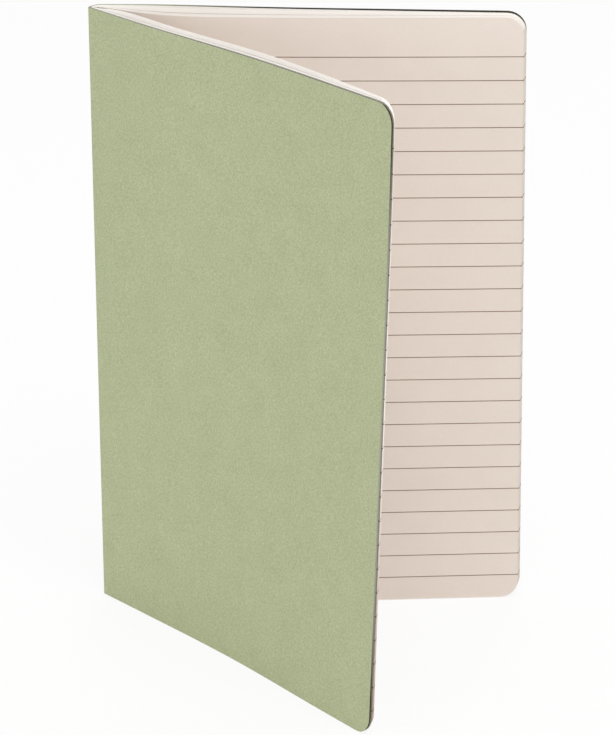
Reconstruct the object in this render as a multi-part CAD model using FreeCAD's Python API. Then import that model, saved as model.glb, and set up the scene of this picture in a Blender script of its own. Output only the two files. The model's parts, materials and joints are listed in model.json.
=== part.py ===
import FreeCAD, Part
import math
import os

# Soft-cover notebook, standing on its bottom edges and opened in a V at its middle sheet.
# The sections are drawn in plan, looking down, with the cover's front crease at (0, 0),
# +X along the back half, and the front half turned from +X towards -Y.

# Sheets
page_height = 210.0
half_width = 143.0
corner_radius = 6.35
card_thickness = 0.6

# Spine strip of the cover, a shallow arc between the two creases
spine_width = 5.0
spine_crown = 0.5
spine_heading = 47.0

# Turn of each half from +X towards -Y: both halves twist a little from bottom to top
front_turn_bottom = 49.4
front_turn_top = 44.9
back_turn_bottom = -1.7
back_turn_top = 1.7

# Swell of each cover half outwards from the straight line between crease and fore edge:
# the front half is slightly hollow from outside, the back half swells beside the spine
front_swell_near_spine = -1.0
front_swell_middle = -1.5
front_swell_near_edge = -1.0
back_swell_near_spine = 4.0
back_swell_middle = 2.5
back_swell_near_edge = 1.0

# Depth of the fanned leaves behind each cover half, at the same places
front_leaves_near_spine = 4.9
front_leaves_middle = 5.4
front_leaves_near_edge = 4.4
back_leaves_near_spine = 7.9
back_leaves_middle = 10.2
back_leaves_near_edge = 7.4

# Those places along each half, as shares of its width, each with its swell and depth
front_stations = [
    (0.20, front_swell_near_spine, front_leaves_near_spine),
    (0.50, front_swell_middle, front_leaves_middle),
    (0.78, front_swell_near_edge, front_leaves_near_edge),
]
back_stations = [
    (0.12, back_swell_near_spine, back_leaves_near_spine),
    (0.35, back_swell_middle, back_leaves_middle),
    (0.67, back_swell_near_edge, back_leaves_near_edge),
]

# Fore edges of the leaves: depth of each half, and how far its inner leaves step back
front_edge_depth = 2.6
back_edge_depth = 4.2
front_edge_step = 2.0
back_edge_step = 1.0
leaf_inset = 0.3
leaf_shoulder = 0.9

# Fold of the leaves: the nested folds, then a narrow gutter up to where the halves part
fold_depth = 2.2
gutter_length = 6.6
gutter_width = 1.0

# Wire staples through the fold, clinched in the gutter
wire_diameter = 0.5
staple_crown = 13.0
staple_bend = 0.5
clinch_gap = 2.0
staple_heights = {"lower_staple": 52.0, "upper_staple": 158.0}

# Clearances
crease_gap = 0.3
cover_leaf_gap = 0.3
spine_leaf_gap = 0.1
wire_clearance = 0.1

# Reach of the corner cutters past the sheets
cutter_reach = 14.0

up = FreeCAD.Vector(0, 0, 1)


def along(turn):
    """Direction in plan of a half that is turned from +X towards -Y."""
    angle = math.radians(turn)
    return FreeCAD.Vector(math.cos(angle), -math.sin(angle), 0)


def left_of(turn):
    """Direction in plan a quarter turn to the left of along(turn)."""
    angle = math.radians(turn)
    return FreeCAD.Vector(math.sin(angle), math.cos(angle), 0)


def smooth_edge(points):
    curve = Part.BSplineCurve()
    curve.interpolate(points)
    return curve.toShape()


def straight_edge(start, end):
    return Part.LineSegment(start, end).toShape()


def arc_edge(start, middle, end):
    return Part.Arc(start, middle, end).toShape()


def raised(points, height):
    return [point + up * height for point in points]


# Spine strip: creases, middle of its outer face and the centre of its arc
spine_along = along(-spine_heading)
spine_inward = left_of(-spine_heading) * -1
front_crease = FreeCAD.Vector(0, 0, 0)
back_crease = spine_along * spine_width
spine_middle = spine_along * (spine_width / 2) - spine_inward * spine_crown
spine_radius = ((spine_width / 2) ** 2 + spine_crown ** 2) / (2 * spine_crown)
spine_centre = spine_middle + spine_inward * spine_radius
leaf_depth_at_spine = card_thickness + spine_leaf_gap
fold_depth_at_gutter = leaf_depth_at_spine + fold_depth

# Gutter: runs from the innermost fold along the middle of the V
gutter_turn = (front_turn_bottom + front_turn_top + back_turn_bottom + back_turn_top) / 4
gutter_floor = spine_middle + spine_inward * fold_depth_at_gutter
gutter_mouth = gutter_floor + along(gutter_turn) * gutter_length
gutter_side = left_of(gutter_turn) * (gutter_width / 2)


class Half:
    """One half of the open notebook: its cover sheet and its share of the leaves."""

    def __init__(self, turns, side, crease, stations, edge_depth, edge_step):
        self.turn_bottom, self.turn_top = turns
        self.side = side
        self.crease = crease
        self.stations = stations
        self.edge_depth = edge_depth
        self.edge_step = edge_step

    def place(self, turn, distance, depth):
        """Plan point at a distance along the half and a depth inwards from its chord."""
        return along(turn) * distance + left_of(turn) * (self.side * depth)

    def crease_place(self, turn):
        distance = self.crease.dot(along(turn))
        depth = self.crease.dot(left_of(turn)) * self.side
        return distance, depth

    def face_points(self, turn, start, depth, end):
        """Points of a face that lies at a depth inside the cover's outer face."""
        distance, crease_depth = self.crease_place(turn)
        points = [self.place(turn, distance + start, crease_depth + depth)]
        for share, swell, _ in self.stations:
            points.append(self.place(turn, share * half_width, depth - swell))
        points.append(self.place(turn, end, depth))
        return points

    def leaf_face_points(self, turn, mouth):
        """Points of the innermost leaf's face, from the gutter's mouth to its fore edge."""
        first_depth = card_thickness + cover_leaf_gap
        points = [mouth]
        for share, swell, depth in self.stations:
            points.append(self.place(turn, share * half_width, first_depth - swell + depth))
        end = half_width - leaf_inset - self.edge_step
        points.append(self.place(turn, end, first_depth + self.edge_depth))
        return points

    def corner_cutter(self, turn, upward, edge, step_slope):
        """Waste outside a rounded corner, from one side of the sheets to the other."""
        wires = []
        for depth in (-cutter_reach, cutter_reach):
            fore_edge = edge - step_slope * depth
            level = page_height if upward else 0.0
            away = 1.0 if upward else -1.0

            def corner_point(back_from_edge, out_from_level):
                plan = self.place(turn, fore_edge - back_from_edge, depth)
                return plan + up * (level + away * out_from_level)

            lean = corner_radius * (1 - math.sqrt(0.5))
            start = corner_point(corner_radius, 0)
            end = corner_point(0, -corner_radius)
            far_side = corner_point(-cutter_reach, -corner_radius)
            far_corner = corner_point(-cutter_reach, cutter_reach)
            far_end = corner_point(corner_radius, cutter_reach)
            outline = [
                arc_edge(start, corner_point(lean, -lean), end),
                straight_edge(end, far_side),
                straight_edge(far_side, far_corner),
                straight_edge(far_corner, far_end),
                straight_edge(far_end, start),
            ]
            wires.append(Part.Wire(outline))
        return Part.makeLoft(wires, True, True)

    def corner_cutters(self, edge, step_slope):
        return [
            self.corner_cutter(self.turn_top, True, edge, step_slope),
            self.corner_cutter(self.turn_bottom, False, edge, step_slope),
        ]

    def leaf_cutters(self):
        first_depth = card_thickness + cover_leaf_gap
        step_slope = self.edge_step / self.edge_depth
        edge = half_width - leaf_inset + step_slope * first_depth
        return self.corner_cutters(edge, step_slope)

    def cover_wire(self, turn, height):
        start = card_thickness + crease_gap
        outer = raised(self.face_points(turn, start, 0, half_width), height)
        inner = raised(self.face_points(turn, start, card_thickness, half_width), height)
        inner.reverse()
        return Part.Wire([
            smooth_edge(outer),
            straight_edge(outer[-1], inner[0]),
            smooth_edge(inner),
            straight_edge(inner[-1], outer[0]),
        ])

    def cover(self):
        wires = [
            self.cover_wire(self.turn_bottom, 0),
            self.cover_wire(self.turn_top, page_height),
        ]
        return Part.makeLoft(wires, True, True).cut(self.corner_cutters(half_width, 0))


front = Half(
    (front_turn_bottom, front_turn_top), 1, front_crease, front_stations,
    front_edge_depth, front_edge_step,
)
back = Half(
    (back_turn_bottom, back_turn_top), -1, back_crease, back_stations,
    back_edge_depth, back_edge_step,
)


def cover_spine():
    """The strip of the cover between its creases, with holes for the staples' legs."""
    ends = []
    for crease in (front_crease, back_crease):
        inward = (spine_centre - crease).normalize()
        ends.append((crease, crease + inward * card_thickness))
    (front_out, front_in), (back_out, back_in) = ends
    outline = Part.Wire([
        arc_edge(front_out, spine_middle, back_out),
        straight_edge(back_out, back_in),
        arc_edge(back_in, spine_middle + spine_inward * card_thickness, front_in),
        straight_edge(front_in, front_out),
    ])
    return Part.Face(outline).extrude(up * page_height).cut(leg_holes())


def leg_holes():
    holes = []
    radius = wire_diameter / 2 + wire_clearance
    length = fold_depth_at_gutter + gutter_width
    for height in staple_heights.values():
        for end in (-1, 1):
            mouth = spine_middle - spine_inward * (gutter_width / 2)
            mouth = mouth + up * (height + end * staple_crown / 2)
            holes.append(Part.makeCylinder(radius, length, mouth, spine_inward))
    return holes


def leaf_wire(front_turn, back_turn, height):
    """Outline in plan of all the leaves: folded round the gutter, with one arm a side."""
    depth = card_thickness + cover_leaf_gap
    edge = half_width - leaf_inset
    back_outer = raised(back.face_points(back_turn, leaf_shoulder, depth, edge), height)
    front_outer = raised(front.face_points(front_turn, leaf_shoulder, depth, edge), height)
    back_inner = raised(back.leaf_face_points(back_turn, gutter_mouth + gutter_side), height)
    front_inner = raised(front.leaf_face_points(front_turn, gutter_mouth - gutter_side), height)
    floor = raised([gutter_floor + gutter_side, gutter_floor - gutter_side], height)
    spine_face = spine_middle + spine_inward * leaf_depth_at_spine + up * height
    back_inner.reverse()
    front_outer.reverse()
    return Part.Wire([
        arc_edge(front_outer[-1], spine_face, back_outer[0]),
        smooth_edge(back_outer),
        straight_edge(back_outer[-1], back_inner[0]),
        smooth_edge(back_inner),
        straight_edge(back_inner[-1], floor[0]),
        straight_edge(floor[0], floor[1]),
        straight_edge(floor[1], front_inner[0]),
        smooth_edge(front_inner),
        straight_edge(front_inner[-1], front_outer[0]),
        smooth_edge(front_outer),
    ])


def leaves():
    wires = [
        leaf_wire(front_turn_bottom, back_turn_bottom, 0),
        leaf_wire(front_turn_top, back_turn_top, page_height),
    ]
    block = Part.makeLoft(wires, True, True)
    return block.cut(front.leaf_cutters() + back.leaf_cutters() + leg_holes())


def staple(height):
    """Round wire: crown on the spine, two legs through the fold, ends clinched inwards."""
    radius = wire_diameter / 2
    outer = -radius - wire_clearance
    inner = fold_depth_at_gutter + radius + wire_clearance
    half_crown = staple_crown / 2
    lean = staple_bend * (1 - math.sqrt(0.5))

    def wire_point(depth, rise):
        return spine_middle + spine_inward * depth + up * (height + rise)

    path = []
    for end in (1, -1):
        clinch = wire_point(inner, end * clinch_gap / 2)
        bend_in = wire_point(inner, end * (half_crown - staple_bend))
        leg_in = wire_point(inner - staple_bend, end * half_crown)
        leg_out = wire_point(outer + staple_bend, end * half_crown)
        bend_out = wire_point(outer, end * (half_crown - staple_bend))
        middle_in = wire_point(inner - lean, end * (half_crown - lean))
        middle_out = wire_point(outer + lean, end * (half_crown - lean))
        path.append([
            straight_edge(clinch, bend_in),
            arc_edge(bend_in, middle_in, leg_in),
            straight_edge(leg_in, leg_out),
            arc_edge(leg_out, middle_out, bend_out),
        ])
    crown = straight_edge(
        wire_point(outer, half_crown - staple_bend), wire_point(outer, staple_bend - half_crown)
    )
    route = Part.Wire(Part.__sortEdges__(path[0] + [crown] + path[1]))
    profile = Part.Wire(Part.makeCircle(radius, wire_point(inner, clinch_gap / 2), up))
    return route.makePipeShell([profile], True, False)


pieces = {
    "front_cover": front.cover(),
    "back_cover": back.cover(),
    "cover_spine": cover_spine(),
    "leaves": leaves(),
}
for name, height in staple_heights.items():
    pieces[name] = staple(height)

# The origin is the middle of the footprint, on the surface the notebook stands on
box = Part.makeCompound(list(pieces.values())).optimalBoundingBox(False, False)
origin = FreeCAD.Vector((box.XMin + box.XMax) / 2, (box.YMin + box.YMax) / 2, box.ZMin)

os.makedirs("parts", exist_ok=True)
for name, shape in pieces.items():
    shape.translate(origin * -1)
    shape.exportStep("parts/" + name + ".step")
    print(name, shape.isValid(), len(shape.Solids), round(shape.Volume, 1))
print("front crease", front_crease - origin)
print("back crease", back_crease - origin)
print("size", box.XLength, box.YLength, box.ZLength)
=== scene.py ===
import json
import math

import bpy
import numpy as np
from mathutils import Matrix, Vector


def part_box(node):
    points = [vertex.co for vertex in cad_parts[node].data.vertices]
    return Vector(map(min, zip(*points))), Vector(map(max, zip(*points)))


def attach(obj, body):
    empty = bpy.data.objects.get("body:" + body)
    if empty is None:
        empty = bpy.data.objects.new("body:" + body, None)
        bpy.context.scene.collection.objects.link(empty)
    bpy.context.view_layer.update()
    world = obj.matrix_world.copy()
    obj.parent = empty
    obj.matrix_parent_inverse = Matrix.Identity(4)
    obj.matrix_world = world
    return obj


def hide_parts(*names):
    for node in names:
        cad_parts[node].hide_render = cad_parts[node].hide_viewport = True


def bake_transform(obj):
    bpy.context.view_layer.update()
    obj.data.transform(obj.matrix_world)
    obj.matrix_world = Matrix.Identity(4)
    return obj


# Open notebook: a folded green card cover, fanned ruled leaves and two wire staples.
# Every length is in metres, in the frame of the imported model.

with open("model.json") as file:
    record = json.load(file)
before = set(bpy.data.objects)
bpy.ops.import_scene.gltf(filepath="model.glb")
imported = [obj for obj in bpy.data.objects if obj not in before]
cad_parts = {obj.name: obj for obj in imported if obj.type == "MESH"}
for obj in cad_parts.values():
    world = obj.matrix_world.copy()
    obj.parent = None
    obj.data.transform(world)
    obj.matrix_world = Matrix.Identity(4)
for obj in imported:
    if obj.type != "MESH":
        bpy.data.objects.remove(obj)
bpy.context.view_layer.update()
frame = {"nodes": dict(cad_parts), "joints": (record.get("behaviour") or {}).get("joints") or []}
print("frame loaded:", ", ".join(sorted(frame["nodes"])))

mm = 0.001

# the open halves in plan, measured from the cover's front crease
notebook = {
    "halfWidth": 142.95 * mm,
    "cornerRadius": 6.35 * mm,
    "spineWidth": 5.0 * mm,
    "spineCrown": 0.5 * mm,
    "spineHeading": 47.0,          # degrees from +X towards +Y
    # degrees from +X towards -Y, at the bottom and the top
    "coverTurn": {"front": (49.4, 45.1), "back": (-1.67, 1.2)},
    "leafTurn": {"front": (49.4, 45.1), "back": (-1.67, 1.7)},
    "stations": {"front": (0.20, 0.50, 0.78), "back": (0.12, 0.35, 0.67)},   # shares of width
    # mm outwards at the stations, at the bottom and the top
    "swell": {
        "front": ((-1.0, -1.95, -0.75), (-0.05, -1.5, -1.0)),
        "back": ((3.95, 2.48, 1.0), (3.95, 2.48, 1.0)),
    },
    # the front half's upper fore corner is bent outwards a little
    "cornerCurl": 0.5 * mm,
    "curlStart": 0.786,            # share of the height
    # each sheet has a row of points just inside its cut ends, so that its shading stays flat up to them
    "endRow": 0.15 * mm,
}

coverSheets = {
    "thickness": 0.6 * mm,
    "creaseStart": 0.5 * mm,       # where a half's flat sheet begins, past its crease
    "creaseBend": 0.35 * mm,       # where the bend begins on the spine's side
    "spineOverlap": 0.9 * mm,      # how far a half's sheet reaches onto the spine
    "blendEnd": 1.6 * mm,          # where the bending part of a half's sheet ends, past its crease
    "columns": 80,
    "rows": 30,
    "spineColumns": 16,
    # how dark the cut edges are near the spine and further out: painted shade of the gap between cover and
    # leaves
    "paintedEdgeShade": {"front": (0.3, 0.55), "back": (0.0, 1.0), "spine": (0.0, 0.0)},
}

leafStack = {
    "leavesPerHalf": 20,
    "thickness": 0.1 * mm,
    "coverGap": 0.3 * mm,
    "spineGap": 0.1 * mm,
    "shoulder": 0.9 * mm,
    "foldDepth": 2.2 * mm,
    "gutterLength": 6.6 * mm,
    "gutterWidth": 1.0 * mm,
    "foreEdgeInset": {"front": 0.1 * mm, "back": 0.0},
    "foreEdgeGap": {"front": 0.8 * mm, "back": 0.5 * mm},            # between cover and leaves
    "depth": {"front": (4.9, 5.4, 4.4), "back": (7.9, 10.2, 7.4)},   # mm, at the stations
    "edgeDepth": {"front": 2.6 * mm, "back": 4.2 * mm},
    "edgeStep": {"front": (1.7 * mm, 2.1 * mm), "back": (0.75 * mm, 0.6 * mm)},
    "split": (0.27, 0.72),         # where each half's leaves part, as shares of the stack
    "splitGap": 0.06,
    "columns": 60,
    "rows": 18,
    "spacingJitter": 0.25,         # share of one leaf's pitch
    "edgeScatter": 0.15 * mm,
    "ripple": 0.08 * mm,
    "seed": 7,
}

ruling = {
    "firstLine": 196.25 * mm,      # height of the top line
    "pitch": 8.16 * mm,
    "lines": 24,
    "lineWidth": 0.31 * mm,
    "fade": (0.40, 0.60),          # where a line's ink fades out, as shares of its width
    "spread": 0.8,                 # how much wider a line is at the fore edge, as a share
}

# points along the guide lines: their long runs, and the bends that lead into them
guideSteps = {
    "cover": 90, "coverBend": 12,
    "outerLeaf": 90, "outerLeafBend": 14,
    "innerLeaf": 96, "innerLeafBend": 8,
}


# plan geometry of the fold and the two halves

def along(turn):
    angle = math.radians(turn)
    return Vector((math.cos(angle), -math.sin(angle)))


def leftOf(turn):
    angle = math.radians(turn)
    return Vector((math.sin(angle), math.cos(angle)))


joints = {joint["name"]: joint for joint in frame["joints"]}
frontCrease = Vector(joints["front_cover_turn"]["pos_m"][:2])
backCrease = Vector(joints["back_cover_turn"]["pos_m"][:2])
spineInward = -leftOf(-notebook["spineHeading"])
spineRadius = (notebook["spineWidth"] ** 2 / 4 + notebook["spineCrown"] ** 2) / (2 * notebook["spineCrown"])
spineMiddle = (frontCrease + backCrease) / 2 - spineInward * notebook["spineCrown"]
spineCentre = spineMiddle + spineInward * spineRadius
spineHalfAngle = math.asin(notebook["spineWidth"] / 2 / spineRadius)

halves = {
    "front": {"side": 1, "crease": frontCrease, "spineEnd": 0.0},
    "back": {"side": -1, "crease": backCrease, "spineEnd": 1.0},
}


# a point on the spine strip: share 0 at the front crease, 1 at the back one
def spinePoint(share, depth):
    swing = (0.5 - share) * 2 * spineHalfAngle
    outward = Matrix.Rotation(swing, 2) @ -spineInward
    return spineCentre + outward * (spineRadius - depth)


# a point of a half, at a distance along it and a depth inwards from its chord
def halfPoint(name, turn, distance, depth):
    return frontCrease + along(turn) * distance + leftOf(turn) * (halves[name]["side"] * depth)


def creasePlace(name, turn):
    offset = halves[name]["crease"] - frontCrease
    return offset.dot(along(turn)), offset.dot(leftOf(turn)) * halves[name]["side"]


# a smooth run through a few points, with its bend easing off at both ends
def smoothRun(points, count):
    values = np.array([tuple(point) for point in points])
    knots = np.concatenate(([0.0], np.cumsum(np.linalg.norm(np.diff(values, axis=0), axis=1))))
    matrix = np.eye(len(values))
    right = np.zeros_like(values)
    for i in range(1, len(values) - 1):
        before, after = knots[i] - knots[i - 1], knots[i + 1] - knots[i]
        matrix[i, i - 1:i + 2] = before, 2 * (before + after), after
        right[i] = 6 * ((values[i + 1] - values[i]) / after - (values[i] - values[i - 1]) / before)
    bend = np.linalg.solve(matrix, right)
    run = []
    for where in np.linspace(0, knots[-1], count):
        i = min(np.searchsorted(knots, where, side="right") - 1, len(values) - 2)
        span = knots[i + 1] - knots[i]
        a, b = (knots[i + 1] - where) / span, (where - knots[i]) / span
        point = a * values[i] + b * values[i + 1]
        point += ((a ** 3 - a) * bend[i] + (b ** 3 - b) * bend[i + 1]) * span ** 2 / 6
        run.append(Vector(point))
    return run


def bentCorner(start, corner, end, count):
    steps = np.linspace(0, 1, count)
    return [start * (1 - t) ** 2 + corner * (2 * t * (1 - t)) + end * t ** 2 for t in steps]


def crossing(point, direction, otherPoint, otherDirection):
    matrix = np.array([tuple(direction), tuple(-otherDirection)]).T
    reach = np.linalg.solve(matrix, np.array(tuple(otherPoint - point)))
    return point + direction * float(reach[0])


# points of a face at a depth inside the cover's outer face, which may grow to its fore edge
def facePoints(name, level, turn, start, depth, end, edgeDepth):
    creaseDistance, creaseDepth = creasePlace(name, turn)
    points = [halfPoint(name, turn, creaseDistance + start, creaseDepth + depth)]
    for share, swell in zip(notebook["stations"][name], notebook["swell"][name][level]):
        inward = depth + (edgeDepth - depth) * share
        points.append(halfPoint(name, turn, share * notebook["halfWidth"], inward - swell * mm))
    points.append(halfPoint(name, turn, end, edgeDepth))
    return points


# middle line of a half's cover sheet, from the spine round its crease to its fore edge
def coverGuide(name, level):
    half = halves[name]
    middle = coverSheets["thickness"] / 2
    inwardShare = 1 if name == "front" else -1
    overlap = coverSheets["spineOverlap"] / notebook["spineWidth"]
    bendStart = coverSheets["creaseBend"] / notebook["spineWidth"]
    onSpine = [spinePoint(half["spineEnd"] + inwardShare * overlap, middle),
               spinePoint(half["spineEnd"] + inwardShare * bendStart, middle)]
    turn = notebook["coverTurn"][name][level]
    face = facePoints(name, level, turn, coverSheets["creaseStart"], middle, notebook["halfWidth"], middle)
    run = smoothRun(face, guideSteps["cover"])
    corner = crossing(onSpine[1], onSpine[1] - onSpine[0], run[0], run[0] - run[1])
    bend = bentCorner(onSpine[1], corner, run[0], guideSteps["coverBend"])
    return onSpine[:1] + bend + run[1:]


# outer face of a half's leaves: from the middle of the spine to the fore edge
def outerLeafGuide(name, level):
    spineDepth = coverSheets["thickness"] + leafStack["spineGap"]
    faceDepth = coverSheets["thickness"] + leafStack["coverGap"]
    edgeDepth = coverSheets["thickness"] + leafStack["foreEdgeGap"][name]
    end = notebook["halfWidth"] - leafStack["foreEdgeInset"][name]
    turn = notebook["leafTurn"][name][level]
    face = facePoints(name, level, turn, leafStack["shoulder"], faceDepth, end, edgeDepth)
    run = smoothRun(face, guideSteps["outerLeaf"])
    start = spinePoint(0.5, spineDepth)
    spineAlong = (backCrease - frontCrease).normalized()
    corner = crossing(start, spineAlong, run[0], run[0] - run[1])
    return bentCorner(start, corner, run[0], guideSteps["outerLeafBend"]) + run[1:]


gutterTurn = sum(sum(notebook["leafTurn"][name]) for name in halves) / 4
foldFloor = coverSheets["thickness"] + leafStack["spineGap"] + leafStack["foldDepth"]
gutterFloor = spineMiddle + spineInward * foldFloor
gutterMouth = gutterFloor + along(gutterTurn) * leafStack["gutterLength"]


# innermost leaf of a half: up one side of the gutter, then fanned out to the fore edge
def innerLeafGuide(name, level):
    turn = notebook["leafTurn"][name][level]
    side = leftOf(gutterTurn) * (-halves[name]["side"] * leafStack["gutterWidth"] / 2)
    wallStart = gutterFloor + side + along(gutterTurn) * leafStack["gutterWidth"]
    points = [wallStart, gutterMouth + side]
    faceDepth = coverSheets["thickness"] + leafStack["coverGap"]
    for share, swell, depth in zip(
        notebook["stations"][name], notebook["swell"][name][level], leafStack["depth"][name]
    ):
        inward = faceDepth + (depth - swell) * mm
        points.append(halfPoint(name, turn, share * notebook["halfWidth"], inward))
    end = notebook["halfWidth"] - leafStack["foreEdgeInset"][name] - leafStack["edgeStep"][name][level]
    points.append(halfPoint(name, turn, end, faceDepth + leafStack["edgeDepth"][name]))
    run = smoothRun(points, guideSteps["innerLeaf"])
    bend = bentCorner(gutterFloor, gutterFloor + side, run[0], guideSteps["innerLeafBend"])
    return bend + run[1:]


# small helpers for node trees

def addNode(tree, kind, inputs=None, **settings):
    made = tree.nodes.new(kind)
    for name, value in settings.items():
        setattr(made, name, value)
    for key, value in (inputs or {}).items():
        if isinstance(value, bpy.types.NodeSocket):
            tree.links.new(value, made.inputs[key])
        else:
            made.inputs[key].default_value = value
    return made


def calc(tree, operation, *values):
    return addNode(tree, "ShaderNodeMath", dict(enumerate(values)), operation=operation).outputs[0]


def vectorCalc(tree, operation, *values):
    made = addNode(tree, "ShaderNodeVectorMath", dict(enumerate(values)), operation=operation)
    return made.outputs[0]


def mixVectors(tree, share, first, second):
    made = addNode(tree, "ShaderNodeMix", {0: share, 4: first, 5: second}, data_type="VECTOR")
    return made.outputs[1]


def parts(tree, vector):
    return addNode(tree, "ShaderNodeSeparateXYZ", {0: vector}).outputs


# a value carried over from one range to another, and held within it
def remap(tree, value, start, end, low=0.0, high=1.0):
    return addNode(tree, "ShaderNodeMapRange", {
        "Value": value, "From Min": start, "From Max": end, "To Min": low, "To Max": high}).outputs[0]


def storeValue(tree, geometry, name, value, domain="POINT", kind="FLOAT"):
    return addNode(tree, "GeometryNodeStoreNamedAttribute", {
        "Geometry": geometry, "Name": name, "Value": value}, data_type=kind, domain=domain).outputs[0]


# how painted shade darkens the cover sheets' cut edges, and how one sheet differs from the next
sheetLook = {
    "edgeShadeRange": (0.06, 0.40),     # shares of the run between which the edge tone changes
    "foreEdgeReach": (0.55, 0.95),  # how far in the fore edge's tone goes, in corner radii
    "cornerReach": (0.04, 0.25),   # how far a corner's tone goes, as shares of the height
    "cornerRest": 0.15,            # what is left of it halfway up
    "lessShadeHalfway": 0.6,                # how much less painted shade the fore edge has halfway up
    "toneLow": 0.45,               # lowest tone of a single sheet's cut
    "splitPaintedShade": 0.03,            # sheets this near their half's split have a dark cut: painted shade of the gap at the split
    "rippleScale": (2.3, 0.35, 2.7),   # along the run, from sheet to sheet and up
    "seedShift": {"spacing": 0, "trim": 11, "tone": 23},
}


# Geometry Nodes: thin sheets stacked between guide lines, with rounded fore-edge corners.
# Each half has four guide splines: outer bottom, outer top, inner bottom, inner top.
sheetInputs = [
    ("Halves", "NodeSocketInt"),
    ("Sheets Per Half", "NodeSocketInt"),
    ("Thickness", "NodeSocketFloat"),
    ("Bottom", "NodeSocketFloat"),
    ("Height", "NodeSocketFloat"),
    ("Corner Radius", "NodeSocketFloat"),
    ("Run Length", "NodeSocketFloat"),
    ("Columns", "NodeSocketInt"),
    ("Rows", "NodeSocketInt"),
    ("End Row", "NodeSocketFloat"),
    ("First Split", "NodeSocketFloat"),
    ("Second Split", "NodeSocketFloat"),
    ("Split Gap", "NodeSocketFloat"),
    ("Corner Curl", "NodeSocketFloat"),
    ("Curl Start", "NodeSocketFloat"),
    # painted shade on the cut edges, near the spine and further out
    ("Inner Painted Edge Shade", "NodeSocketFloat"),
    ("Outer Painted Edge Shade", "NodeSocketFloat"),
    ("Inner Side", "NodeSocketFloat"),
    ("Spacing Jitter", "NodeSocketFloat"),
    ("Edge Scatter", "NodeSocketFloat"),
    ("Ripple", "NodeSocketFloat"),
    ("Seed", "NodeSocketInt"),
    ("Finish", "NodeSocketMaterial"),
]


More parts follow.
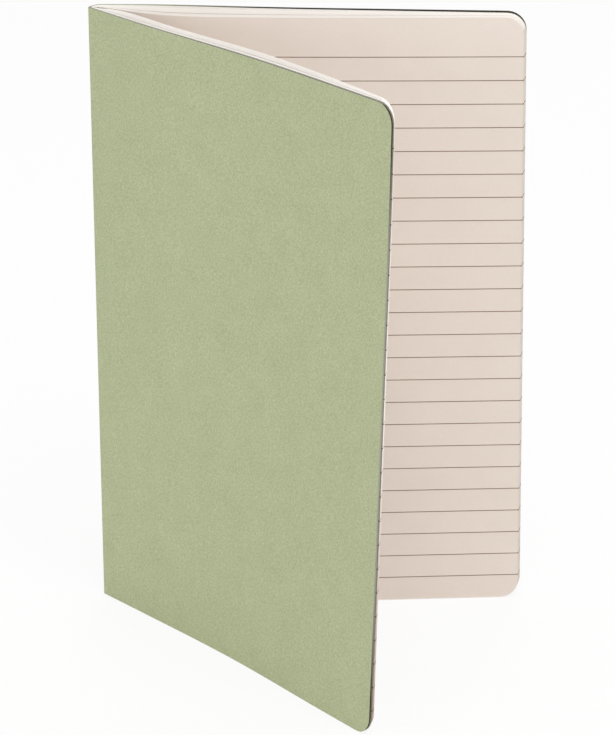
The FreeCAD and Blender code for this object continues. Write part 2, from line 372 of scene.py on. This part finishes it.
def buildSheetTree():
    tree = bpy.data.node_groups.new("stackedSheets", "GeometryNodeTree")
    tree.interface.new_socket("Guides", in_out="INPUT", socket_type="NodeSocketGeometry")
    for name, kind in sheetInputs:
        tree.interface.new_socket(name, in_out="INPUT", socket_type=kind)
    tree.interface.new_socket("Sheets", in_out="OUTPUT", socket_type="NodeSocketGeometry")
    given = tree.nodes.new("NodeGroupInput").outputs
    total = calc(tree, "MULTIPLY", given["Halves"], given["Sheets Per Half"])

    # one flat slab of unit size, its cut faces marked, repeated once for each sheet
    slab = addNode(tree, "GeometryNodeMeshCube", {
        "Size": (1.0, 1.0, 1.0), "Vertices X": given["Columns"],
        "Vertices Y": 2, "Vertices Z": given["Rows"]})
    facing = parts(tree, tree.nodes.new("GeometryNodeInputNormal").outputs[0])["Y"]
    flatness = calc(tree, "ABSOLUTE", facing)
    isCut = calc(tree, "LESS_THAN", flatness, 0.5)
    marked = storeValue(tree, slab.outputs["Mesh"], "cutEdge", isCut, domain="FACE")
    innerFace = calc(tree, "GREATER_THAN", calc(tree, "MULTIPLY", facing, given["Inner Side"]), 0.5)
    sided = storeValue(tree, marked, "innerFace", innerFace, domain="FACE")
    # the slab's own coordinates give shares along and up the sheet
    local = parts(tree, tree.nodes.new("GeometryNodeInputPosition").outputs[0])
    swing = calc(tree, "COSINE", calc(tree, "MULTIPLY", calc(tree, "ADD", local["X"], 0.5), math.pi))
    runShare = calc(tree, "SUBTRACT", 0.5, calc(tree, "MULTIPLY", swing, 0.5))
    fromEdge = calc(tree, "MULTIPLY", calc(tree, "SUBTRACT", 1.0, runShare), given["Run Length"])
    # the first and last rows lie on the sheet's ends, and the next ones End Row inside them
    lastRow = calc(tree, "SUBTRACT", given["Rows"], 1.0)
    row = calc(tree, "MULTIPLY", calc(tree, "ADD", local["Z"], 0.5), lastRow)
    innerRows = calc(tree, "SUBTRACT", given["Rows"], 3.0)
    innerShare = calc(tree, "DIVIDE", calc(tree, "SUBTRACT", row, 1.0), innerRows)
    endRow = calc(tree, "DIVIDE", given["End Row"], given["Height"])
    innerSpan = calc(tree, "SUBTRACT", 1.0, calc(tree, "MULTIPLY", endRow, 2.0))
    upShare = calc(tree, "ADD", calc(tree, "MULTIPLY", innerShare, innerSpan), endRow)
    upShare = calc(tree, "MINIMUM", calc(tree, "MAXIMUM", upShare, 0.0), 1.0)
    endShare = calc(tree, "SUBTRACT", 0.5, calc(tree, "ABSOLUTE", calc(tree, "SUBTRACT", upShare, 0.5)))
    # painted shade darkens the cut edges, most round the fore edge's corners
    tones = given["Inner Painted Edge Shade"], given["Outer Painted Edge Shade"]
    outward = remap(tree, runShare, *sheetLook["edgeShadeRange"], *tones)
    reach = [calc(tree, "MULTIPLY", given["Corner Radius"], share) for share in sheetLook["foreEdgeReach"]]
    atForeEdge = remap(tree, fromEdge, *reach, 1.0, 0.0)
    hasCorner = calc(tree, "GREATER_THAN", given["Corner Radius"], 0.0)
    atForeEdge = calc(tree, "MULTIPLY", atForeEdge, hasCorner)
    nearCorner = remap(tree, endShare, *sheetLook["cornerReach"], 1.0, sheetLook["cornerRest"])
    atCorner = calc(tree, "MULTIPLY", atForeEdge, nearCorner)
    # halfway up, the fore edge has less painted shade
    lost = calc(tree, "MULTIPLY", nearCorner, sheetLook["lessShadeHalfway"])
    lessShadeHalfway = calc(tree, "MULTIPLY", atForeEdge, calc(tree, "SUBTRACT", sheetLook["lessShadeHalfway"], lost))
    outward = calc(tree, "MULTIPLY", outward, calc(tree, "SUBTRACT", 1.0, lessShadeHalfway))
    toned = storeValue(tree, sided, "paintedEdgeShade", calc(tree, "MAXIMUM", outward, atCorner))
    shaded = addNode(tree, "GeometryNodeSetShadeSmooth", {
        "Geometry": toned, "Shade Smooth": calc(tree, "GREATER_THAN", flatness, 0.5)})
    single = addNode(tree, "GeometryNodeGeometryToInstance", {0: shaded.outputs[0]})
    copies = addNode(tree, "GeometryNodeDuplicateElements", {
        "Geometry": single.outputs[0], "Amount": total}, domain="INSTANCE").outputs
    numbered = storeValue(
        tree, copies["Geometry"], "sheet", copies["Duplicate Index"], domain="INSTANCE", kind="INT")
    real = addNode(tree, "GeometryNodeRealizeInstances", {0: numbered})

    # where each sheet lies between its half's outer and inner guides
    sheet = addNode(tree, "GeometryNodeInputNamedAttribute", {"Name": "sheet"}, data_type="INT").outputs[0]
    half = calc(tree, "FLOOR", calc(tree, "DIVIDE", calc(tree, "ADD", sheet, 0.5), given["Sheets Per Half"]))
    place = calc(tree, "SUBTRACT", sheet, calc(tree, "MULTIPLY", half, given["Sheets Per Half"]))

    def randomFor(purpose, low, high):
        seed = calc(tree, "ADD", given["Seed"], sheetLook["seedShift"][purpose])
        made = addNode(tree, "FunctionNodeRandomValue", {"ID": sheet, "Seed": seed}, data_type="FLOAT")
        for key, value in (("Min", low), ("Max", high)):
            socket = next(s for s in made.inputs if s.name == key and s.type == "VALUE" and s.enabled)
            if isinstance(value, bpy.types.NodeSocket):
                tree.links.new(value, socket)
            else:
                socket.default_value = value
        return next(s for s in made.outputs if s.type == "VALUE" and s.enabled)

    lowest = calc(tree, "MULTIPLY", given["Spacing Jitter"], -1.0)
    jitter = randomFor("spacing", lowest, given["Spacing Jitter"])
    centred = calc(tree, "ADD", calc(tree, "ADD", place, 0.5), jitter)
    evenShare = calc(tree, "DIVIDE", centred, given["Sheets Per Half"])
    splitPlace = addNode(tree, "ShaderNodeMix", {
        0: half, 2: given["First Split"], 3: given["Second Split"]}, data_type="FLOAT").outputs[0]
    pastSplit = calc(tree, "MULTIPLY", calc(tree, "GREATER_THAN", evenShare, splitPlace), given["Split Gap"])
    squeeze = calc(tree, "SUBTRACT", 1.0, given["Split Gap"])
    stackShare = calc(tree, "ADD", calc(tree, "MULTIPLY", evenShare, squeeze), pastSplit)

    # rounded corners: near the fore edge the sheet's ends draw in along an arc
    intoCorner = calc(tree, "MAXIMUM", calc(tree, "SUBTRACT", given["Corner Radius"], fromEdge), 0.0)
    square = calc(tree, "SUBTRACT", calc(tree, "MULTIPLY", given["Corner Radius"], given["Corner Radius"]),
                  calc(tree, "MULTIPLY", intoCorner, intoCorner))
    arc = calc(tree, "SQRT", calc(tree, "MAXIMUM", square, 0.0))
    drawnIn = calc(tree, "SUBTRACT", given["Corner Radius"], arc)
    span = calc(tree, "SUBTRACT", given["Height"], calc(tree, "MULTIPLY", drawnIn, 2.0))
    rise = calc(tree, "ADD", drawnIn, calc(tree, "MULTIPLY", upShare, span))
    heightShare = calc(tree, "DIVIDE", rise, given["Height"])
    toEnd = calc(tree, "MULTIPLY", endShare, span)
    trim = calc(tree, "DIVIDE", randomFor("trim", 0.0, given["Edge Scatter"]), given["Run Length"])
    guideShare = calc(tree, "MULTIPLY", runShare, calc(tree, "SUBTRACT", 1.0, trim))

    def guideAt(number):
        index = calc(tree, "ADD", calc(tree, "MULTIPLY", half, 4.0), float(number))
        made = addNode(tree, "GeometryNodeSampleCurve", {"Curves": given["Guides"]}, mode="FACTOR")
        tree.links.new(guideShare, next(s for s in made.inputs if s.name == "Factor"))
        tree.links.new(index, next(s for s in made.inputs if s.name == "Curve Index"))
        return made.outputs["Position"], made.outputs["Tangent"]

    guides = [guideAt(number) for number in range(4)]

    def between(part):
        low = mixVectors(tree, stackShare, guides[0][part], guides[2][part])
        high = mixVectors(tree, stackShare, guides[1][part], guides[3][part])
        return mixVectors(tree, heightShare, low, high)

    centre, heading = between(0), between(1)
    across = vectorCalc(tree, "NORMALIZE", vectorCalc(tree, "CROSS_PRODUCT", (0.0, 0.0, 1.0), heading))

    # a slight ripple that fades out at the fold, where the sheets are held together
    scaled = zip((runShare, sheet, heightShare), sheetLook["rippleScale"])
    rippleSpot = addNode(tree, "ShaderNodeCombineXYZ", dict(enumerate(
        calc(tree, "MULTIPLY", value, scale) for value, scale in scaled)))
    wave = addNode(tree, "ShaderNodeTexNoise", {
        "Vector": rippleSpot.outputs[0], "Scale": 1.0, "Detail": 1.0}).outputs[0]
    swayWidth = calc(tree, "MULTIPLY", given["Ripple"], 2.0)
    swell = calc(tree, "MULTIPLY", calc(tree, "SUBTRACT", wave, 0.5), swayWidth)
    push = calc(tree, "ADD", calc(tree, "MULTIPLY", swell, runShare),
                calc(tree, "MULTIPLY", local["Y"], given["Thickness"]))

    # the first half's upper fore corner curls outwards
    pastStart = remap(tree, heightShare, given["Curl Start"], 1.0)
    curlUp, curlAlong = (calc(tree, "POWER", share, 2.0) for share in (pastStart, runShare))
    curl = calc(tree, "MULTIPLY", calc(tree, "MULTIPLY", curlUp, curlAlong), given["Corner Curl"])
    curl = calc(tree, "MULTIPLY", curl, calc(tree, "SUBTRACT", 1.0, half))
    push = calc(tree, "SUBTRACT", push, curl)
    moved = vectorCalc(tree, "ADD", centre, addNode(
        tree, "ShaderNodeVectorMath", {0: across, "Scale": push}, operation="SCALE").outputs[0])

    level = calc(tree, "ADD", given["Bottom"], rise)
    plan = parts(tree, moved)
    spot = addNode(tree, "ShaderNodeCombineXYZ", {0: plan["X"], 1: plan["Y"], 2: level})
    # the sheets beside the split take the darkest cut tone, painted shade of the gap there; the others vary
    # at random
    fromSplit = calc(tree, "ABSOLUTE", calc(tree, "SUBTRACT", evenShare, splitPlace))
    clearOfSplit = calc(tree, "GREATER_THAN", fromSplit, sheetLook["splitPaintedShade"])
    sheetTone = calc(tree, "MULTIPLY", randomFor("tone", sheetLook["toneLow"], 1.0), clearOfSplit)
    measured = real.outputs[0]
    for name, value in (("toEnd", toEnd), ("toForeEdge", fromEdge), ("sheetTone", sheetTone),
                        ("firstHalf", calc(tree, "SUBTRACT", 1.0, half))):
        measured = storeValue(tree, measured, name, value)
    placed = addNode(tree, "GeometryNodeSetPosition", {
        "Geometry": measured, "Position": spot.outputs[0]})
    whole = addNode(tree, "GeometryNodeRealizeInstances", {0: placed.outputs[0]})
    finished = addNode(tree, "GeometryNodeSetMaterial", {
        "Geometry": whole.outputs[0], "Material": given["Finish"]})
    addNode(tree, "NodeGroupOutput", {0: finished.outputs[0]})
    return tree


sheetTree = buildSheetTree()


# guide splines of the given plan lines, as one curve object
def guideObject(name, lines):
    data = bpy.data.curves.new(name, "CURVE")
    data.dimensions = "3D"
    for line in lines:
        spline = data.splines.new("POLY")
        spline.points.add(len(line) - 1)
        for point, place in zip(spline.points, line):
            point.co = (place.x, place.y, 0.0, 1.0)
    made = bpy.data.objects.new(name, data)
    bpy.context.scene.collection.objects.link(made)
    return made


def sheetPiece(name, lines, values, finish):
    guides = guideObject(name + "Guides", lines)
    modifier = guides.modifiers.new("sheets", "NODES")
    modifier.node_group = sheetTree
    values = dict(values, Finish=finish)
    for item in sheetTree.interface.items_tree:
        if item.item_type == "SOCKET" and item.in_out == "INPUT" and item.name in values:
            modifier[item.identifier] = values[item.name]
    evaluated = guides.evaluated_get(bpy.context.evaluated_depsgraph_get())
    mesh = bpy.data.meshes.new_from_object(evaluated)
    mesh.name = name
    bpy.data.objects.remove(guides)
    piece = bpy.data.objects.new(name, mesh)
    bpy.context.scene.collection.objects.link(piece)
    print(name, "made:", len(mesh.polygons), "faces")
    return piece


# shader groups and materials

def newGroup(name, inputs, outputs):
    group = bpy.data.node_groups.new(name, "ShaderNodeTree")
    for label, kind in inputs:
        group.interface.new_socket(label, in_out="INPUT", socket_type=kind)
    for label, kind in outputs:
        group.interface.new_socket(label, in_out="OUTPUT", socket_type=kind)
    return group, group.nodes.new("NodeGroupInput").outputs, group.nodes.new("NodeGroupOutput").inputs


pulp = {
    "fineDetail": 3.0,
    "fineRoughness": 0.6,
    "cloudDetail": 2.0,
    "speckScale": 0.45,            # of the fine grain's own scale
    "speckEdge": (0.10, 0.28),     # where a speck fades out, as shares of its cell
}


# fine pulp grain of card and paper: a tone around 0.5 and a height
def buildPulpGrain():
    group, given, out = newGroup("pulpGrain", [
        ("Vector", "NodeSocketVector"),
        ("Grain Size", "NodeSocketFloat"),
        ("Cloud Size", "NodeSocketFloat"),
        ("Cloud Share", "NodeSocketFloat"),
        ("Speck Share", "NodeSocketFloat"),
    ], [("Tone", "NodeSocketFloat"), ("Height", "NodeSocketFloat")])
    fineScale = calc(group, "DIVIDE", 1.0, given["Grain Size"])
    cloudScale = calc(group, "DIVIDE", 1.0, given["Cloud Size"])
    fine = addNode(group, "ShaderNodeTexNoise", {
        "Vector": given["Vector"], "Scale": fineScale,
        "Detail": pulp["fineDetail"], "Roughness": pulp["fineRoughness"]}).outputs[0]
    cloud = addNode(group, "ShaderNodeTexNoise", {
        "Vector": given["Vector"], "Scale": cloudScale, "Detail": pulp["cloudDetail"]}).outputs[0]
    cells = addNode(group, "ShaderNodeTexVoronoi", {
        "Vector": given["Vector"], "Scale": calc(group, "MULTIPLY", fineScale, pulp["speckScale"])})
    speck = remap(group, cells.outputs["Distance"], *pulp["speckEdge"], 1.0, 0.0)
    clouds = calc(group, "MULTIPLY", calc(group, "SUBTRACT", cloud, 0.5), given["Cloud Share"])
    specks = calc(group, "MULTIPLY", speck, given["Speck Share"])
    tone = calc(group, "ADD", calc(group, "ADD", clouds, fine), specks)
    group.links.new(tone, out["Tone"])
    group.links.new(fine, out["Height"])
    return group


pulpGrain = buildPulpGrain()


softSpecular = 0.25
rimFade = (0.7, 1.3)               # where a rim fades out, as shares of its width


def newMaterial(name, roughness):
    material = bpy.data.materials.new(name)
    material.use_nodes = True
    tree = material.node_tree
    shader = tree.nodes["Principled BSDF"]
    shader.inputs["Roughness"].default_value = roughness
    shader.inputs["Specular IOR Level"].default_value = softSpecular
    return material, tree, shader


def mixColours(tree, share, first, second):
    made = addNode(tree, "ShaderNodeMix", {0: share, 6: first, 7: second}, data_type="RGBA")
    return made.outputs[2]


def attributeValue(tree, name):
    return addNode(tree, "ShaderNodeAttribute", attribute_name=name).outputs["Fac"]


# 1 close to the edge that an attribute gives the distance to, and 0 past the reach
def nearness(tree, name, reach):
    return remap(tree, attributeValue(tree, name), reach * rimFade[0], reach * rimFade[1], 1.0, 0.0)


def grainNode(tree, values):
    place = tree.nodes.new("ShaderNodeTexCoord").outputs["Object"]
    return addNode(tree, "ShaderNodeGroup", {"Vector": place, **values}, node_tree=pulpGrain), place


def bumpFrom(tree, shader, height, strength, distance):
    bump = addNode(tree, "ShaderNodeBump", {"Height": height, "Strength": strength, "Distance": distance})
    tree.links.new(bump.outputs[0], shader.inputs["Normal"])


# sage green card: mottled face, darker cut edges, with painted shade on the cut edges and on the inner face
# below them
card = {
    "deep": (0.350, 0.390, 0.210, 1.0),
    "light": (0.630, 0.666, 0.440, 1.0),
    "cut": (0.400, 0.410, 0.340, 1.0),
    # near-black painted shade for the cut edges and the inner face's rim
    "paintedShadeCut": (0.034, 0.033, 0.024, 1.0),
    "paintedRim": 0.5 * mm,
    "roughness": 0.85,
    "grain": {"Grain Size": 0.55 * mm, "Cloud Size": 9.0 * mm, "Cloud Share": 0.13, "Speck Share": 0.11},
    "toneRange": (0.2, 0.85),
    "bump": (0.25, 0.05 * mm),     # strength, height
}


def makeCardMaterial():
    material, tree, shader = newMaterial("sageCard", card["roughness"])
    grain, _ = grainNode(tree, card["grain"])
    spread = remap(tree, grain.outputs["Tone"], *card["toneRange"])
    face = mixColours(tree, spread, card["deep"], card["light"])
    # painted shade on the cut edges, as strong as the edge shade attribute
    paintedShade = attributeValue(tree, "paintedEdgeShade")
    cut = mixColours(tree, paintedShade, card["cut"], card["paintedShadeCut"])
    # painted shade on the inner face just below its cut edges
    nearEnd = nearness(tree, "toEnd", card["paintedRim"])
    paintedRim = calc(tree, "MULTIPLY", calc(tree, "MULTIPLY", nearEnd, attributeValue(tree, "innerFace")), paintedShade)
    face = mixColours(tree, paintedRim, face, card["paintedShadeCut"])
    colour = mixColours(tree, attributeValue(tree, "cutEdge"), face, cut)
    tree.links.new(colour, shader.inputs["Base Color"])
    bumpFrom(tree, shader, grain.outputs["Height"], *card["bump"])
    return material


# cream writing paper with ruled lines that run off its edges
paper = {
    "deep": (0.735, 0.652, 0.585, 1.0),
    "light": (0.805, 0.722, 0.655, 1.0),
    # the cut is paler than the faces, partly painted light from above
    "cut": (0.98, 0.95, 0.90, 1.0),
    "cutShade": (0.80, 0.75, 0.70, 1.0),
    # brown painted shade for the fore edge, and its shares in each half and up the height
    "paintedShadeCut": (0.44, 0.34, 0.28, 1.0),
    "paintedShadeShares": (0.90, 0.10, 0.40),   # first half at the foot and higher up, second half
    "paintedShadeHeight": (0.01, 0.11),   # metres, between the first two
    # painted highlight on the faces just below their ends: its width and share
    "paintedRim": 0.3 * mm,
    "paintedRimShare": 0.75,
    "ink": (0.21, 0.14, 0.095, 1.0),
    "inkStrength": 0.96,
    "roughness": 0.9,
    "grain": {"Grain Size": 0.35 * mm, "Cloud Size": 14.0 * mm, "Cloud Share": 0.4, "Speck Share": 0.0},
    "toneRange": (0.15, 0.85),
    "bump": (0.12, 0.03 * mm),     # strength, height
}


def makePaperMaterial():
    material, tree, shader = newMaterial("ruledPaper", paper["roughness"])
    grain, place = grainNode(tree, paper["grain"])
    spread = remap(tree, grain.outputs["Tone"], *paper["toneRange"])
    face = mixColours(tree, spread, paper["deep"], paper["light"])
    cut = mixColours(tree, attributeValue(tree, "sheetTone"), paper["cutShade"], paper["cut"])
    # painted highlight: faces take the cut's pale tone just below their trimmed ends
    atForeEdge = nearness(tree, "toForeEdge", paper["paintedRim"])
    atPaintedRim = calc(tree, "MAXIMUM", nearness(tree, "toEnd", paper["paintedRim"]), atForeEdge)
    face = mixColours(tree, calc(tree, "MULTIPLY", atPaintedRim, paper["paintedRimShare"]), face, cut)
    stock = mixColours(tree, attributeValue(tree, "cutEdge"), face, cut)
    height = parts(tree, place)["Z"]
    # painted shade browns the fore edge, in the first half mostly low down
    atFoot, higherUp, secondHalf = paper["paintedShadeShares"]
    firstHalf = remap(tree, height, *paper["paintedShadeHeight"], atFoot, higherUp)
    paintedShade = remap(tree, attributeValue(tree, "firstHalf"), 0.0, 1.0, secondHalf, firstHalf)
    paintedShade = calc(tree, "MULTIPLY", atForeEdge, paintedShade)
    stock = mixColours(tree, paintedShade, stock, paper["paintedShadeCut"])

    count = calc(tree, "DIVIDE", calc(tree, "SUBTRACT", ruling["firstLine"], height), ruling["pitch"])
    nearest = calc(tree, "MAXIMUM", calc(tree, "ROUND", count), 0.0)
    nearest = calc(tree, "MINIMUM", nearest, ruling["lines"] - 1.0)
    away = calc(tree, "ABSOLUTE", calc(tree, "SUBTRACT", count, nearest))
    away = calc(tree, "MULTIPLY", away, ruling["pitch"])
    # the ink lines are wider where the fore edge has painted shade
    spreadInk = calc(tree, "ADD", calc(tree, "MULTIPLY", paintedShade, ruling["spread"]), 1.0)
    inkFrom, inkTo = (ruling["lineWidth"] * share for share in ruling["fade"])
    line = remap(tree, calc(tree, "DIVIDE", away, spreadInk), inkFrom, inkTo, paper["inkStrength"], 0.0)
    tree.links.new(mixColours(tree, line, stock, paper["ink"]), shader.inputs["Base Color"])
    bumpFrom(tree, shader, grain.outputs["Height"], *paper["bump"])
    return material


# drawn steel wire: fine streaks along the wire, slightly uneven gloss
wire = {
    "dull": (0.42, 0.42, 0.41, 1.0),
    "bright": (0.66, 0.66, 0.65, 1.0),
    "roughness": (0.28, 0.45),
    "plainRoughness": 0.35,        # where the streaks aren't used
    "streak": (2200.0, 2200.0, 160.0),
    "streakDetail": 2.0,
    "bump": (0.2, 0.01 * mm),      # strength, height
}


def makeWireMaterial():
    material, tree, shader = newMaterial("stapleWire", wire["plainRoughness"])
    place = tree.nodes.new("ShaderNodeTexCoord").outputs["Object"]
    stretched = vectorCalc(tree, "MULTIPLY", place, wire["streak"])
    streaks = addNode(tree, "ShaderNodeTexNoise", {
        "Vector": stretched, "Scale": 1.0, "Detail": wire["streakDetail"]}).outputs[0]
    tree.links.new(mixColours(tree, streaks, wire["dull"], wire["bright"]), shader.inputs["Base Color"])
    rough = remap(tree, streaks, 0.0, 1.0, *wire["roughness"])
    tree.links.new(rough, shader.inputs["Roughness"])
    shader.inputs["Metallic"].default_value = 1.0
    bumpFrom(tree, shader, streaks, *wire["bump"])
    return material


cardMaterial = makeCardMaterial()
paperMaterial = makePaperMaterial()
wireMaterial = makeWireMaterial()
print("materials made")


# pieces: the cover's three sheets, the leaves and the staples

low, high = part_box("leaves")
bottom, pageHeight = low[2], high[2] - low[2]


def guideLength(line):
    return sum((b - a).length for a, b in zip(line, line[1:]))


def cardSheet(pieceName, lines, paintedEdgeShade, values):
    shared = {
        "Halves": 1, "Sheets Per Half": 1, "Thickness": coverSheets["thickness"],
        "Bottom": bottom, "Height": pageHeight, "Run Length": guideLength(lines[0]),
        "Rows": coverSheets["rows"], "End Row": notebook["endRow"],
        "Inner Painted Edge Shade": paintedEdgeShade[0], "Outer Painted Edge Shade": paintedEdgeShade[1],
    }
    return sheetPiece(pieceName, lines, {**shared, **values}, cardMaterial)


def makeCoverHalf(name, pieceName):
    lines = [coverGuide(name, 0), coverGuide(name, 1)] * 2
    # the half's cut edges take its painted shade
    piece = cardSheet(pieceName, lines, coverSheets["paintedEdgeShade"][name], {
        "Corner Radius": notebook["cornerRadius"], "Columns": coverSheets["columns"],
        "Corner Curl": notebook["cornerCurl"] if name == "front" else 0.0,
        "Inner Side": halves[name]["side"],
        "Curl Start": notebook["curlStart"]})
    body = name + "_cover"
    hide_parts(body)
    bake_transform(piece)


makeCoverHalf("front", "front_cover_sheet")
makeCoverHalf("back", "back_cover_sheet")


def makeSpineSheet():
    inset = coverSheets["spineOverlap"] / notebook["spineWidth"]
    columns = coverSheets["spineColumns"]
    shares = np.linspace(inset, 1 - inset, columns)
    line = [spinePoint(share, coverSheets["thickness"] / 2) for share in shares]
    # the spine's cut edges take no painted shade
    piece = cardSheet("spine_sheet", [line] * 4, coverSheets["paintedEdgeShade"]["spine"], {"Columns": columns})
    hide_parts("cover_spine")
    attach(piece, "book_block")


makeSpineSheet()


def makeLeaves():
    lines = []
    for name in ("front", "back"):
        lines += [outerLeafGuide(name, 0), outerLeafGuide(name, 1)]
        lines += [innerLeafGuide(name, 0), innerLeafGuide(name, 1)]
    piece = sheetPiece("ruled_leaves", lines, {
        "Halves": 2, "Sheets Per Half": leafStack["leavesPerHalf"],
        "Thickness": leafStack["thickness"], "Bottom": bottom, "Height": pageHeight,
        "Corner Radius": notebook["cornerRadius"], "Run Length": guideLength(lines[0]),
        "Columns": leafStack["columns"], "Rows": leafStack["rows"], "End Row": notebook["endRow"],
        "First Split": leafStack["split"][0], "Second Split": leafStack["split"][1],
        "Split Gap": leafStack["splitGap"], "Corner Curl": notebook["cornerCurl"],
        "Curl Start": notebook["curlStart"],
        "Spacing Jitter": leafStack["spacingJitter"], "Edge Scatter": leafStack["edgeScatter"],
        "Ripple": leafStack["ripple"], "Seed": leafStack["seed"]}, paperMaterial)
    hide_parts("leaves")
    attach(piece, "book_block")


makeLeaves()

for name in ("lower_staple", "upper_staple"):
    staple = frame["nodes"][name]
    staple.data.materials.clear()
    staple.data.materials.append(wireMaterial)
print("pieces made")


# floor, light and camera

stage = {
    "floorSize": 6.0,
    "floorColour": (0.93, 0.93, 0.93, 1.0),
    "floorRoughness": 0.8,
    "floorFill": 0.87,             # how much of the floor's look is plain white
    "worldStrength": 0.50,
    "lamps": [
        # place, aim height, size, power
        ((-1.10, -0.80, 0.38), 0.10, 0.60, 2.6),
        ((0.85, -0.85, 0.45), 0.10, 0.60, 3.8),
        ((0.20, -0.50, 1.30), 0.10, 1.00, 6.9),
        ((0.00, 0.80, 1.20), 0.10, 1.00, 4.2),
    ],
}


def seenRays(tree):
    rays = tree.nodes.new("ShaderNodeLightPath")
    direct = calc(tree, "MAXIMUM", rays.outputs["Is Camera Ray"], rays.outputs["Is Glossy Ray"])
    return calc(tree, "MAXIMUM", direct, rays.outputs["Is Transmission Ray"])


def makeFloor():
    half = stage["floorSize"] / 2
    mesh = bpy.data.meshes.new("floor")
    corners = [(-half, -half, 0), (half, -half, 0), (half, half, 0), (-half, half, 0)]
    mesh.from_pydata(corners, [], [(0, 1, 2, 3)])
    floor = bpy.data.objects.new("floor", mesh)
    bpy.context.scene.collection.objects.link(floor)
    material, tree, shader = newMaterial("paleFloor", stage["floorRoughness"])
    shader.inputs["Base Color"].default_value = stage["floorColour"]
    glow = addNode(tree, "ShaderNodeEmission", {"Color": (1.0, 1.0, 1.0, 1.0), "Strength": 1.0})
    share = calc(tree, "MULTIPLY", seenRays(tree), stage["floorFill"])
    mixed = addNode(tree, "ShaderNodeMixShader", {0: share, 1: shader.outputs[0], 2: glow.outputs[0]})
    tree.links.new(mixed.outputs[0], tree.nodes["Material Output"].inputs["Surface"])
    mesh.materials.append(material)


def makeWorld():
    world = bpy.data.worlds.new("studio")
    world.use_nodes = True
    tree = world.node_tree
    background = tree.nodes["Background"]
    background.inputs["Color"].default_value = (1.0, 1.0, 1.0, 1.0)
    strength = remap(tree, seenRays(tree), 0.0, 1.0, stage["worldStrength"], 1.0)
    tree.links.new(strength, background.inputs["Strength"])
    bpy.context.scene.world = world


def makeLamps():
    for number, (place, aimHeight, size, power) in enumerate(stage["lamps"]):
        data = bpy.data.lights.new("softLamp%d" % number, "AREA")
        data.shape = "DISK"
        data.size = size
        data.energy = power
        lamp = bpy.data.objects.new(data.name, data)
        lamp.location = place
        lamp.rotation_euler = (Vector((0, 0, aimHeight)) - Vector(place)).to_track_quat("-Z", "Y").to_euler()
        bpy.context.scene.collection.objects.link(lamp)


camera = {
    "place": (0.04595, -1.30231, 0.62729),
    "aim": (-0.00073, 0.05187, 0.08387),
    "roll": -0.46,                 # degrees, clockwise positive as seen
    "lens": 212.7,                 # mm, as is the sensor's width
    "sensor": 36.0,
    "clip": (0.05, 20.0),
}


def makeCamera():
    data = bpy.data.cameras.new("camera")
    data.lens = camera["lens"]
    data.sensor_width = camera["sensor"]
    data.clip_start, data.clip_end = camera["clip"]
    made = bpy.data.objects.new("camera", data)
    place, aim = Vector(camera["place"]), Vector(camera["aim"])
    turn = (aim - place).to_track_quat("-Z", "Y").to_matrix().to_4x4()
    roll = Matrix.Rotation(math.radians(camera["roll"]), 4, "Z")
    made.matrix_world = Matrix.Translation(place) @ turn @ roll
    bpy.context.scene.collection.objects.link(made)
    bpy.context.scene.camera = made


makeFloor()
makeWorld()
makeLamps()
makeCamera()
bpy.context.scene.view_settings.view_transform = "Standard"
print("stage, light and camera made")
